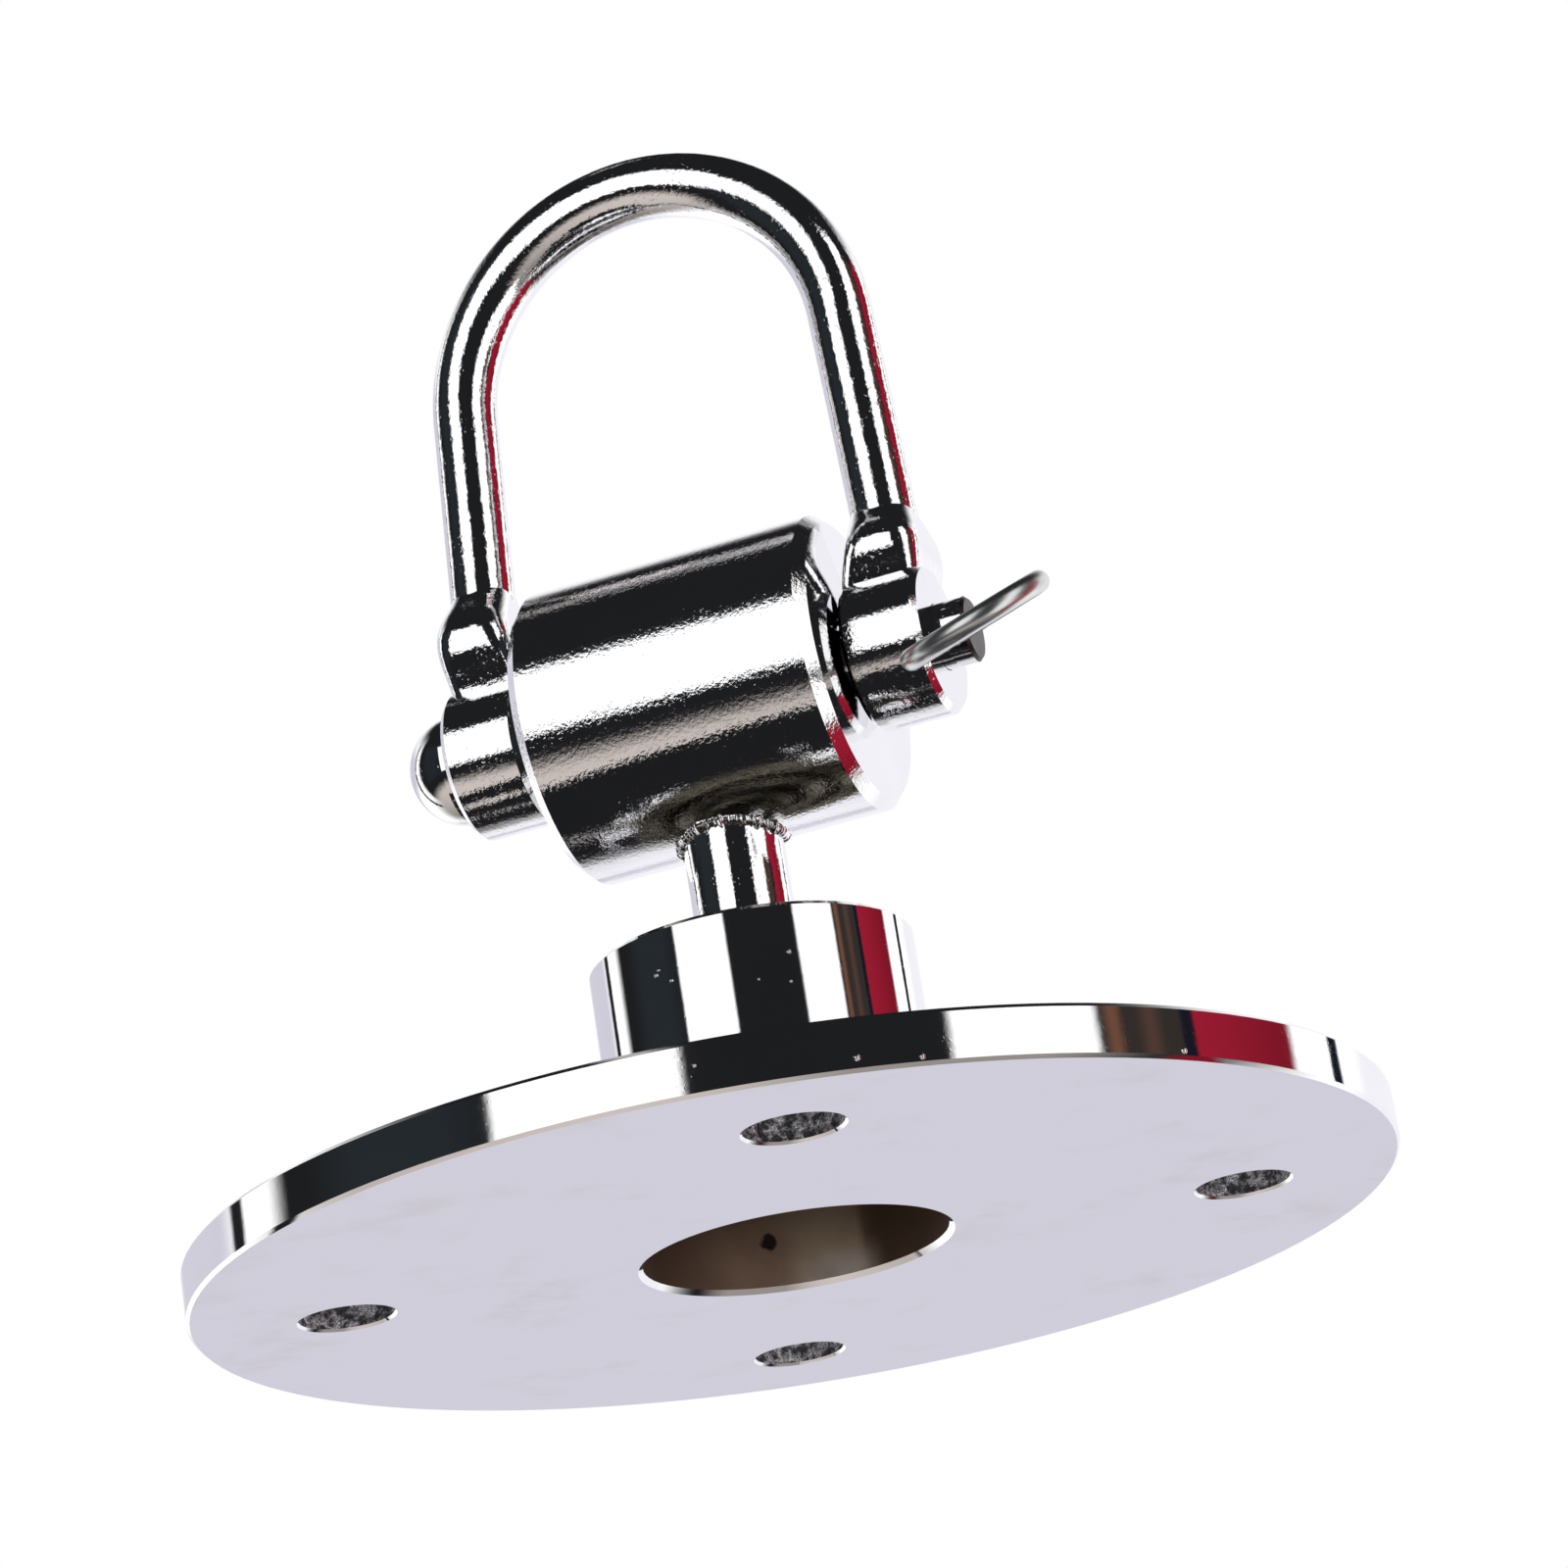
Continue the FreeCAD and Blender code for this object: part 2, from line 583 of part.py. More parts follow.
# Shackle, forged from round rod: a bow on two leaning legs, with swollen necks and drilled eyes
def make_shackle():
    body = new_body("shackle")
    route = new_sketch(body, "route", "XZ_Plane")
    spread, bow, depth = (value(f"sizes.{name}") for name in ("leg_spread", "bow_radius", "bow_depth"))
    foot = value("sizes.rod_top")
    left = route.addGeometry(Part.LineSegment(Vector(-spread, -foot, 0), Vector(-bow, -depth, 0)), False)
    ends = (Vector(-bow, -depth, 0), Vector(0, -depth - bow, 0), Vector(bow, -depth, 0))
    arc = route.addGeometry(Part.Arc(*ends), False)
    right = route.addGeometry(Part.LineSegment(Vector(bow, -depth, 0), Vector(spread, -foot, 0)), False)
    hold(route, left, 1, ("-sizes.leg_spread", "-sizes.rod_top"))
    hold(route, right, 2, ("sizes.leg_spread", "-sizes.rod_top"))
    hold(route, arc, 3, ("0", "-sizes.bow_depth"))
    bind(route, "Radius", "sizes.bow_radius", arc)
    route.addConstraint(Sketcher.Constraint("Tangent", left, 2, arc, 1))
    route.addConstraint(Sketcher.Constraint("Tangent", arc, 2, right, 1))

    section = new_sketch(body, "rod_section", "XY_Plane", lift="-sizes.rod_top")
    add_circle(section, ("-sizes.leg_spread", "0"), "sizes.rod_diameter / 2")
    rod = body.newObject("PartDesign::AdditivePipe", "rod")
    rod.Profile = section
    rod.Spine = (route, ["Edge1", "Edge2", "Edge3"])

    for side, name in (("", "head_side"), ("-", "cotter_side")):
        make_ear(body, side, name)

    drill = new_sketch(body, "pin_hole", "YZ_Plane")
    add_circle(drill, ("0", "0"), PIN_BORE)
    body.Tip = cut_through(body, drill)
    place_along(body, x="sizes.shackle_shift", z="-sizes.pin_depth")
    return body


# Clevis pin, turned about X, with a domed head at +X and a cross hole near its free end
def make_pin():
    body = new_body("clevis_pin")
    section = new_sketch(body, "section", "XZ_Plane")
    head = "sizes.head_diameter / 2"
    corners = [
        (f"{EAR_OUTER} + sizes.head_height", "0"),
        (f"-{PIN_END}", "0"),
        (f"-{PIN_END}", f"{PIN_RADIUS} - sizes.pin_chamfer"),
        (f"sizes.pin_chamfer - {PIN_END}", PIN_RADIUS),
        (EAR_OUTER, PIN_RADIUS),
        (EAR_OUTER, head),
        (f"{EAR_OUTER} + sizes.head_flange", head),
    ]
    places = [Vector(value(x), value(y), 0) for x, y in corners]
    for i, place in enumerate(places[:-1]):
        section.addGeometry(Part.LineSegment(place, places[i + 1]), False)
        hold(section, i, 1, corners[i])
    last = len(places) - 2
    for i in range(last):
        section.addConstraint(Sketcher.Constraint("Coincident", i, 2, i + 1, 1))
    hold(section, last, 2, corners[-1])
    rise = places[0].x - places[-1].x
    ball = (rise ** 2 + places[-1].y ** 2) / (2 * rise)
    centre = Vector(places[0].x - ball, 0, 0)
    halfway = (places[-1] + places[0]) * 0.5 - centre
    dome = section.addGeometry(Part.Arc(places[0], centre + halfway.normalize() * ball, places[-1]), False)
    section.addConstraint(Sketcher.Constraint("Coincident", 0, 1, dome, 1))
    section.addConstraint(Sketcher.Constraint("Coincident", last, 2, dome, 2))
    section.addConstraint(Sketcher.Constraint("PointOnObject", dome, 3, -1))
    revolve(body, section, "H_Axis")

    along = Vector(1, 0, 0)
    drill = new_sketch(body, "cross_hole", "XZ_Plane", turn_axis=along, turn="sizes.cotter_lean_angle")
    add_circle(drill, (f"-{COTTER_PLACE}", "0"), "sizes.cotter_hole / 2")
    cut_through(body, drill)
    place_along(body, x="sizes.shackle_shift", z="-sizes.pin_depth")
    return body


# Split cotter, bent from half-round wire: a round eye, a short leg and a longer one turned over.
# It is drawn with its legs along Y through the pin and its eye towards +Y.
def make_cotter():
    body = new_body("split_cotter")
    gap = value("sizes.cotter_slit") / 2
    eye, fillet = value(EYE_INNER), value("sizes.eye_fillet")
    centre = Vector(value("sizes.eye_offset"), value("sizes.eye_reach"), 0)
    straight = value("sizes.tail_straight")

    def fillet_centre(side):
        x = side * (gap + fillet)
        return Vector(x, centre.y - ((eye + fillet) ** 2 - (x - centre.x) ** 2) ** 0.5, 0)

    def meeting(side):
        return centre + (fillet_centre(side) - centre) * (eye / (eye + fillet))

    def fillet_middle(side):
        chord = (Vector(side * gap, fillet_centre(side).y, 0) + meeting(side)) * 0.5
        return fillet_centre(side) + (chord - fillet_centre(side)).normalize() * fillet

    bend = value("sizes.tail_bend_radius")
    turn = FreeCAD.Rotation(Vector(0, 0, 1), value("sizes.tail_bend_angle"))
    bend_centre = Vector(gap + bend, -straight, 0)
    bend_half = FreeCAD.Rotation(Vector(0, 0, 1), value("sizes.tail_bend_angle") / 2)
    bend_start = Vector(gap, -straight, 0)
    bend_end = bend_centre + turn.multVec(bend_start - bend_centre)
    tip = bend_end + turn.multVec(Vector(0, -value("sizes.tail_length"), 0))

    route = new_sketch(body, "route", "XY_Plane")
    short_top = Vector(-gap, fillet_centre(-1).y, 0)
    long_top = Vector(gap, fillet_centre(1).y, 0)
    curves = [
        Part.LineSegment(Vector(-gap, -value("sizes.short_leg"), 0), short_top),
        Part.Arc(short_top, fillet_middle(-1), meeting(-1)),
        Part.Arc(meeting(-1), centre + Vector(0, eye, 0), meeting(1)),
        Part.Arc(meeting(1), fillet_middle(1), long_top),
        Part.LineSegment(long_top, bend_start),
        Part.Arc(bend_start, bend_centre + bend_half.multVec(bend_start - bend_centre), bend_end),
        Part.LineSegment(bend_end, tip),
    ]
    for curve in curves:
        route.addGeometry(curve, False)

    def end_near(index, place):
        return 1 if route.getPoint(index, 1).distanceToPoint(place) < gap / 2 else 2

    joints = [short_top, meeting(-1), meeting(1), long_top, bend_start, bend_end]
    for i, joint in enumerate(joints):
        ends = (i, end_near(i, joint), i + 1, end_near(i + 1, joint))
        route.addConstraint(Sketcher.Constraint("Tangent", *ends))
    hold(route, 0, 1, ("-sizes.cotter_slit / 2", "-sizes.short_leg"))
    route.addConstraint(Sketcher.Constraint("Vertical", 0))
    hold(route, 2, 3, ("sizes.eye_offset", "sizes.eye_reach"))
    bind(route, "Radius", EYE_INNER, 2)
    bind(route, "Radius", "sizes.eye_fillet", 1)
    bind(route, "Radius", "sizes.eye_fillet", 3)
    hold(route, 4, 2, ("sizes.cotter_slit / 2", "-sizes.tail_straight"))
    route.addConstraint(Sketcher.Constraint("Vertical", 4))
    bind(route, "Radius", "sizes.tail_bend_radius", 5)
    bind(route, "DistanceY", "-sizes.tail_length * cos(sizes.tail_bend_angle * 1 deg)", 6, 1, 6, 2)
    bind(route, "DistanceX", "sizes.tail_length * sin(sizes.tail_bend_angle * 1 deg)", 6, 1, 6, 2)

    section = new_sketch(body, "wire_section", "XZ_Plane", lift="sizes.short_leg")
    half = "sizes.cotter_width / 2"
    flat_top = ("-sizes.cotter_slit / 2", half)
    flat_foot = ("-sizes.cotter_slit / 2", f"-{half}")
    reach = value(half)
    top, bottom = Vector(-gap, reach, 0), Vector(-gap, -reach, 0)
    flat = section.addGeometry(Part.LineSegment(top, bottom), False)
    back = section.addGeometry(Part.Arc(top, Vector(-gap - reach, 0, 0), bottom), False)
    hold(section, flat, 1, flat_top)
    hold(section, flat, 2, flat_foot)
    section.addConstraint(Sketcher.Constraint("Coincident", flat, 1, back, 1))
    section.addConstraint(Sketcher.Constraint("Coincident", flat, 2, back, 2))
    section.addConstraint(Sketcher.Constraint("PointOnObject", back, 3, flat))
    wire = body.newObject("PartDesign::AdditivePipe", "wire")
    wire.Profile = section
    wire.Spine = (route, [f"Edge{i + 1}" for i in range(len(curves))])
    turned = (FreeCAD.Rotation(Vector(1, 0, 0), value("sizes.cotter_lean_angle"))
              * FreeCAD.Rotation(Vector(0, 1, 0), value("sizes.cotter_turn_angle")))
    body.Placement = FreeCAD.Placement(Vector(), turned)
    place_along(body, x=f"sizes.shackle_shift - {COTTER_PLACE}", z="-sizes.pin_depth")
    return body


pieces = [
    make_flange(),
    *make_bearing(),
    *make_nut(),
    *make_stem(),
    make_barrel(),
    make_shackle(),
    make_pin(),
    make_cotter(),
]
doc.recompute()

for item in doc.Objects:
    if "Invalid" in item.State or "Error" in item.State:
        raise RuntimeError(f"{item.Label} failed: {item.State}")
for piece in pieces:
    if piece.Shape.isNull() or not piece.Shape.isValid():
        raise RuntimeError(f"{piece.Label} has no valid shape")

os.makedirs("parts", exist_ok=True)
for piece in pieces:
    piece.Shape.exportStep(f"parts/{piece.Label}.step")
    print(f"{piece.Label}: {len(piece.Shape.Solids)} solid(s), {piece.Shape.Volume:.1f} mm3")
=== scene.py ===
import math

import bmesh
import bpy
from mathutils import Matrix, Vector, noise


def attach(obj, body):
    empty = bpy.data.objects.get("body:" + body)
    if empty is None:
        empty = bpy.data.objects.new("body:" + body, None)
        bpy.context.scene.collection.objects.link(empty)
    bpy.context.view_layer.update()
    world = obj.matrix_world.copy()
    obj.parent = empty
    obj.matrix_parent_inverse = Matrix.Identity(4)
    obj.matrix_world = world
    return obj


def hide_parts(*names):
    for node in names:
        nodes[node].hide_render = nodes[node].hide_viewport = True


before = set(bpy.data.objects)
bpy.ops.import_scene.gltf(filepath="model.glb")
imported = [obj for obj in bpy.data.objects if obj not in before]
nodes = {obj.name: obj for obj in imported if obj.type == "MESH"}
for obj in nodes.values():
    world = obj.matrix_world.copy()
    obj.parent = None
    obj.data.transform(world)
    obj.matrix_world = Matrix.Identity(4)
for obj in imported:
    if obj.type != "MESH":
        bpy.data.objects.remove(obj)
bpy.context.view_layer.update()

# Sizes from the CAD, in metres and radians
PIN_DEPTH = 0.0682
PIN_TAIL = -0.0285
BARREL_RADIUS = 0.0181
STEM_RADIUS = 0.006
SPIGOT_RADIUS = 0.00497
SPIGOT_TOP = -0.007
SPIGOT_CHAMFER = 0.001
NUT_TOP = -0.009
BOLT_CIRCLE_RADIUS = 0.052
BOLT_HOLE_RADIUS = 0.0055
BOLT_TURN = math.radians(-20.3)
PLATE_RADIUS = 0.07
HUB_RADIUS = 0.0192
HUB_DEPTH = 0.036
BORE_RADIUS = 0.0178

# A face belongs to a wall or a flat within these distances of it
WALL_SLACK = 0.0002
FLAT_SLACK = 0.0001

# A face is square to an axis when its normal's part along it is above the first, upright below the second
SQUARE_ON = 0.99
EDGE_ON = 0.1

MICRON = 1e-6
BRIGHT = (0.95, 0.95, 0.955, 1)

# Sockets of the mix node, which has a set for numbers and one for colours
NUMBER_A, NUMBER_B, NUMBER_OUT = 2, 3, 0
COLOUR_A, COLOUR_B, COLOUR_OUT = 6, 7, 2


class Shader:
    """Short calls for making and linking the nodes of one node tree."""

    def __init__(self, tree):
        self.tree = tree
        tree.nodes.clear()

    def node(self, kind, **settings):
        made = self.tree.nodes.new(kind)
        for name, setting in settings.items():
            setattr(made, name, setting)
        return made

    def link(self, source, target):
        self.tree.links.new(source, target)

    def feed(self, socket, source):
        """Sets a socket to a number or colour, or links it."""
        if isinstance(source, bpy.types.NodeSocket):
            self.link(source, socket)
        else:
            socket.default_value = source

    def math(self, operation, first, second=0.0):
        made = self.node("ShaderNodeMath", operation=operation)
        self.feed(made.inputs[0], first)
        self.feed(made.inputs[1], second)
        return made.outputs[0]

    def product(self, first, second):
        return self.math("MULTIPLY", first, second)

    def ramp(self, source, low, high):
        """0 below low and 1 above high, smooth between; falls where low is above high."""
        made = self.node("ShaderNodeMapRange", interpolation_type="SMOOTHSTEP")
        self.feed(made.inputs["Value"], source)
        start, end = (0.0, 1.0) if low < high else (1.0, 0.0)
        made.inputs["From Min"].default_value = min(low, high)
        made.inputs["From Max"].default_value = max(low, high)
        made.inputs["To Min"].default_value = start
        made.inputs["To Max"].default_value = end
        return made.outputs["Result"]

    def band(self, source, low, high, soft):
        """1 between low and high, with soft edges."""
        rise = self.ramp(source, low - soft, low + soft)
        fall = self.ramp(source, high + soft, high - soft)
        return self.product(rise, fall)

    def mix(self, factor, first, second):
        """Mixes two colours."""
        made = self.node("ShaderNodeMix", data_type="RGBA")
        self.feed(made.inputs["Factor"], factor)
        self.feed(made.inputs[COLOUR_A], first)
        self.feed(made.inputs[COLOUR_B], second)
        return made.outputs[COLOUR_OUT]

    def blend(self, factor, first, second):
        """Mixes two numbers."""
        made = self.node("ShaderNodeMix", data_type="FLOAT")
        self.feed(made.inputs["Factor"], factor)
        self.feed(made.inputs[NUMBER_A], first)
        self.feed(made.inputs[NUMBER_B], second)
        return made.outputs[NUMBER_OUT]

    def split(self, vector):
        made = self.node("ShaderNodeSeparateXYZ")
        self.link(vector, made.inputs[0])
        return made.outputs

    def degrees_of(self, first, second):
        """Angle whose sine and cosine go as first and second."""
        return self.product(self.math("ARCTAN2", first, second), 180 / math.pi)

    def noise(self, place, scale, detail=2.0, rough=0.5):
        made = self.node("ShaderNodeTexNoise")
        self.link(place, made.inputs["Vector"])
        made.inputs["Scale"].default_value = scale
        made.inputs["Detail"].default_value = detail
        made.inputs["Roughness"].default_value = rough
        return made.outputs[0]

    def streaks(self, along, scale):
        """Noise that varies along one number only."""
        made = self.node("ShaderNodeTexNoise", noise_dimensions="1D")
        self.link(along, made.inputs["W"])
        made.inputs["Scale"].default_value = scale
        made.inputs["Detail"].default_value = 2.0
        return made.outputs[0]

    def bump(self, height, microns, under=None):
        """Relief this many microns high, laid over another relief if one is given."""
        made = self.node("ShaderNodeBump")
        self.link(height, made.inputs["Height"])
        made.inputs["Distance"].default_value = microns * MICRON
        if under:
            self.link(under, made.inputs["Normal"])
        return made.outputs[0]


def make_world():
    """Studio: a white surround with dark gaps, so that bright plating shows hard bands."""
    world = bpy.data.worlds.new("studio")
    bpy.context.scene.world = world
    world.use_nodes = True
    make = Shader(world.node_tree)
    x, y, z = make.split(make.node("ShaderNodeTexCoord").outputs["Generated"])
    azimuth = make.degrees_of(x, y)
    elevation = make.product(make.math("ARCSINE", z), 180 / math.pi)

    dark = (0.013, 0.0135, 0.015, 1)
    night = (0.019, 0.0235, 0.028, 1)
    dusk = (0.07, 0.078, 0.09, 1)
    navy = (0.008, 0.01, 0.018, 1)
    white = (1.16, 1.16, 1.16, 1)
    pale = (0.93, 0.92, 0.98, 1)
    lavender = (0.65, 0.635, 0.72, 1)
    cream = (0.62, 0.555, 0.52, 1)
    ash = (0.5, 0.475, 0.46, 1)
    umber = (0.034, 0.028, 0.025, 1)
    brown = (0.085, 0.046, 0.036, 1)
    tan = (0.16, 0.072, 0.044, 1)
    wine = (0.21, 0.008, 0.02, 1)
    scarlet = (0.33, 0.012, 0.032, 1)
    red = make.mix(make.ramp(azimuth, -48, -80), wine, scarlet)

    # Warm ceiling, brightest over the camera's left and at least half as bright overhead
    brightest = 140
    swing = make.math("COSINE", make.product(make.math("SUBTRACT", azimuth, brightest), math.pi / 180))
    share = make.math("ADD", make.product(swing, 0.5), 0.5)
    overhead = make.product(make.ramp(elevation, 46, 60), 0.5)
    share = make.math("MAXIMUM", share, overhead)
    colour = make.mix(make.product(share, make.ramp(elevation, 23, 41)), dark, cream)

    # Panels: colour, left, right, low and high in degrees, softness of the sides and of the ends
    backdrop = [
        (white, -56, 92, -42, 34, 4, 12),
        (pale, -24, 34, -40, 34, 5, 10),
        (lavender, 6, 30, 9, 19.5, 3, 3),
        (lavender, 31, 74, -32, -4, 6, 6),
        (dark, 74.5, 79.5, -40, 40, 1, 2),
        (navy, -36.2, -32.3, -32, 4, 0.6, 2),
        (night, 108, 142, -40, 12, 8, 6),
    ]
    low_strip = [(ash, 38, 66, -70.5, -67.5, 5, 1.6)]
    warm_side = [
        (red, -86, -66, 12, 46, 2, 4),
        (red, -78, -50, -38, 46, 1.5, 2),
        (umber, -97.5, -79, -40, 10, 1.2, 2),
        (brown, -89, -85.5, -40, 10, 2, 2),
        (tan, -97, -94, -40, 10, 1.3, 2),
        (navy, -80, -77, -40, 10, 0.5, 2),
    ]
    # The boxes that cross 180 degrees are in two halves
    soft_boxes = [
        (dusk, 140, 181, -41, -30, 4, 2.5),
        (dusk, -181, -174, -41, -30, 4, 2.5),
        (white, 146, 181, -38.5, 9.5, 1.2, 0.8),
        (white, -181, -177, -38.5, 9.5, 1.2, 0.8),
        (white, -128, -99, -50, 40, 1.2, 2),
        (white, -128, -89, 12, 40, 1.2, 2),
    ]
    for paint, left, right, low, high, soft, lift in backdrop + low_strip + warm_side + soft_boxes:
        across = make.band(azimuth, left, right, soft)
        up = make.band(elevation, low, high, lift)
        colour = make.mix(make.product(across, up), colour, paint)

    rays = make.node("ShaderNodeLightPath")
    seen = make.mix(rays.outputs["Is Camera Ray"], colour, (1, 1, 1, 1))
    background = make.node("ShaderNodeBackground")
    make.link(seen, background.inputs["Color"])
    output = make.node("ShaderNodeOutputWorld")
    make.link(background.outputs[0], output.inputs[0])


def new_material(name):
    """Starts a material: itself, its node maker, its shader's inputs and the object's coordinates."""
    material = bpy.data.materials.new(name)
    material.use_nodes = True
    make = Shader(material.node_tree)
    surface = make.node("ShaderNodeBsdfPrincipled")
    output = make.node("ShaderNodeOutputMaterial")
    make.link(surface.outputs[0], output.inputs[0])
    place = make.node("ShaderNodeTexCoord").outputs["Object"]
    return material, make, surface.inputs, place


def shaded(tint, share):
    """A tint darkened to a share of its brightness."""
    return tuple(channel * share for channel in tint[:3]) + (1,)


def plating(name, tint, roughness, ripple, grain, nodules):
    """Bright plating: a mirror with slow ripple, fine grain, sparse nodules and faint smears."""
    material, make, surface, place = new_material(name)
    surface["Metallic"].default_value = 1.0
    smear = make.noise(place, 55, 4, 0.6)
    make.link(make.mix(make.ramp(smear, 0.42, 0.72), tint, shaded(tint, 0.96)), surface["Base Color"])
    make.link(make.blend(make.ramp(smear, 0.45, 0.8), roughness, roughness * 1.5), surface["Roughness"])
    slow = make.bump(make.noise(place, 420), ripple)
    fine = make.bump(make.noise(place, 1900, 2, 0.6), grain, slow)
    patch = make.ramp(make.noise(place, 240, 2), 0.42, 0.6)
    nodule = make.product(make.ramp(make.noise(place, 2300, 1), 0.62, 0.74), patch)
    make.link(make.bump(nodule, nodules, fine), surface["Normal"])
    return material


def mounting_finish(name):
    """Flat plated face: a soft mirror with faint warm smudges from handling."""
    smudged = (0.83, 0.815, 0.79, 1)
    material, make, surface, place = new_material(name)
    surface["Metallic"].default_value = 1.0
    smudge = make.product(make.ramp(make.noise(place, 48, 3, 0.6), 0.5, 0.72),
                          make.ramp(make.noise(place, 160, 4, 0.6), 0.35, 0.7))
    make.link(make.mix(smudge, BRIGHT, smudged), surface["Base Color"])
    make.link(make.blend(smudge, 0.07, 0.13), surface["Roughness"])
    make.link(make.bump(make.noise(place, 300), 3), surface["Normal"])
    return material


def rough_wall(name):
    """Drilled wall under thin plating: coarse, torn and sparkling."""
    pit, sparkle = (0.1, 0.1, 0.11, 1), (0.85, 0.85, 0.9, 1)
    material, make, surface, place = new_material(name)
    surface["Metallic"].default_value = 0.75
    grit = make.noise(place, 850, 3, 0.65)
    make.link(make.mix(make.ramp(grit, 0.4, 0.62), pit, sparkle), surface["Base Color"])
    make.link(make.blend(make.ramp(grit, 0.4, 0.65), 0.45, 0.2), surface["Roughness"])
    make.link(make.bump(grit, 900), surface["Normal"])
    return material


def bore_wall(name):
    """Turned bore: brown bare steel with a dark stain, and painted light: lighter round one side with a
    painted highlight, painted shade further in, and painted light at the opening.
    """
    # Colours of the painted shade and painted light on the wall, then of the depths, rust and the stain
    shade, light_side_tone = (0.14, 0.094, 0.062, 1), (0.5, 0.345, 0.24, 1)
    painted_glare_tone, opening_light_tone = (0.72, 0.58, 0.43, 1), (0.9, 0.8, 0.74, 1)
    depth_shade_tone, rust, soot = (0.06, 0.042, 0.03, 1), (0.2, 0.13, 0.1, 1), (0.02, 0.012, 0.01, 1)
    stain_place = (0.0085, 0.0156, -0.006)
    material, make, surface, place = new_material(name)
    x, y, z = make.split(place)
    turn = make.degrees_of(y, x)
    cloud = make.noise(place, 150, 3)
    # Painted light: the wall is coloured lighter round one side, where light falls
    painted_light_side = make.product(make.ramp(turn, 2, 64), make.ramp(turn, 106, 90))
    tone = make.mix(painted_light_side, shade, light_side_tone)
    # Painted highlight: a brighter band within that side
    painted_highlight = make.product(make.ramp(turn, 56, 84), make.ramp(turn, 100, 95))
    tone = make.mix(painted_highlight, tone, painted_glare_tone)
    # Painted shade: darker further into the bore
    painted_depth_shade = make.product(make.ramp(z, -0.0015, -0.012), 0.6)
    tone = make.mix(painted_depth_shade, tone, depth_shade_tone)
    # Painted light: paler near the opening on the light side
    painted_opening_light = make.product(make.ramp(z, -0.005, -0.001), make.band(turn, 75, 100, 8))
    tone = make.mix(painted_opening_light, tone, opening_light_tone)
    tone = make.mix(make.product(make.ramp(cloud, 0.4, 0.7), 0.35), tone, rust)
    away = make.node("ShaderNodeVectorMath", operation="DISTANCE")
    make.link(place, away.inputs[0])
    away.inputs[1].default_value = stain_place
    ragged = make.math("ADD", away.outputs["Value"], make.product(make.noise(place, 1500, 2), 0.0009))
    stain = make.ramp(ragged, 0.0017, 0.0012)
    make.link(make.mix(stain, tone, soot), surface["Base Color"])
    surface["Metallic"].default_value = 0.3
    make.link(make.blend(cloud, 0.36, 0.5), surface["Roughness"])
    make.link(make.bump(make.streaks(z, 5200), 10), surface["Normal"])
    return material


def turned_face(name):
    """Hub end left as turned: brownish steel with fine rings, plated towards the edge."""
    groove, land = (0.018, 0.016, 0.012, 1), (0.25, 0.225, 0.175, 1)
    material, make, surface, place = new_material(name)
    surface["Metallic"].default_value = 1.0
    x, y = make.split(place)[:2]
    radius = make.math("SQRT", make.math("ADD", make.product(x, x), make.product(y, y)))
    rings = make.streaks(radius, 520)
    tone = make.mix(make.ramp(rings, 0.42, 0.6), groove, land)
    plated = make.ramp(radius, 0.0148, 0.0158)
    make.link(make.mix(plated, tone, BRIGHT), surface["Base Color"])
    make.link(make.blend(plated, 0.26, 0.05), surface["Roughness"])
    make.link(make.bump(rings, 80), surface["Normal"])
    return material


def plain_steel(name, tint, roughness, grain):
    """Zinc-plated or ground steel: fine grain and slight colour drift."""
    material, make, surface, place = new_material(name)
    surface["Metallic"].default_value = 1.0
    cloud = make.noise(place, 300, 4, 0.6)
    make.link(make.mix(cloud, shaded(tint, 0.8), tint), surface["Base Color"])
    make.link(make.blend(cloud, roughness * 0.8, roughness * 1.25), surface["Roughness"])
    make.link(make.bump(make.noise(place, 4000), grain), surface["Normal"])
    return material


def nylon(name):
    """Milky plastic with a slight cloud."""
    material, make, surface, place = new_material(name)
    cloud = make.noise(place, 500, 3)
    make.link(make.mix(cloud, (0.62, 0.62, 0.56, 1), (0.75, 0.75, 0.7, 1)), surface["Base Color"])
    surface["Roughness"].default_value = 0.45
    make.link(make.bump(make.noise(place, 2600), 20), surface["Normal"])
    return material


# Materials: tint and roughness, then heights in microns of ripple, grain and nodules, or of grain alone
flange_plate = plating("flange_plating", BRIGHT, 0.035, 4, 0.6, 1)
barrel_plate = plating("barrel_plating", BRIGHT, 0.015, 10, 32, 6)
forging_plate = plating("forging_plating", BRIGHT, 0.025, 30, 26, 12)
stem_plate = plating("stem_plating", BRIGHT, 0.03, 10, 14, 10)
pin_plate = plating("pin_plating", (0.9, 0.9, 0.91, 1), 0.04, 10, 6, 10)
weld_plate = plating("weld_plating", BRIGHT, 0.08, 60, 30, 60)
face_plate = mounting_finish("mounting_face_plating")
hole_wall = rough_wall("drilled_wall")
bore_steel = bore_wall("bore_steel")
hub_end = turned_face("turned_hub_end")
# Pin's free end: dull steel whose near-black tint is painted shade
shaded_pin_end_steel = plain_steel("pin_end_steel", (0.062, 0.055, 0.05, 1), 0.34, 10)
wire_steel = plain_steel("cotter_wire", (0.84, 0.87, 0.855, 1), 0.29, 10)
ring_steel = plain_steel("ground_steel", (0.7, 0.7, 0.71, 1), 0.2, 10)
zinc_steel = plain_steel("zinc_plated_steel", (0.72, 0.72, 0.7, 1), 0.24, 20)
insert_nylon = nylon("nylon")


def dress(node, *materials):
    """Gives a CAD node its materials, the first one all over."""
    mesh = nodes[node].data
    mesh.materials.clear()
    for material in materials:
        mesh.materials.append(material)
    for face in mesh.polygons:
        face.material_index = 0
    return mesh


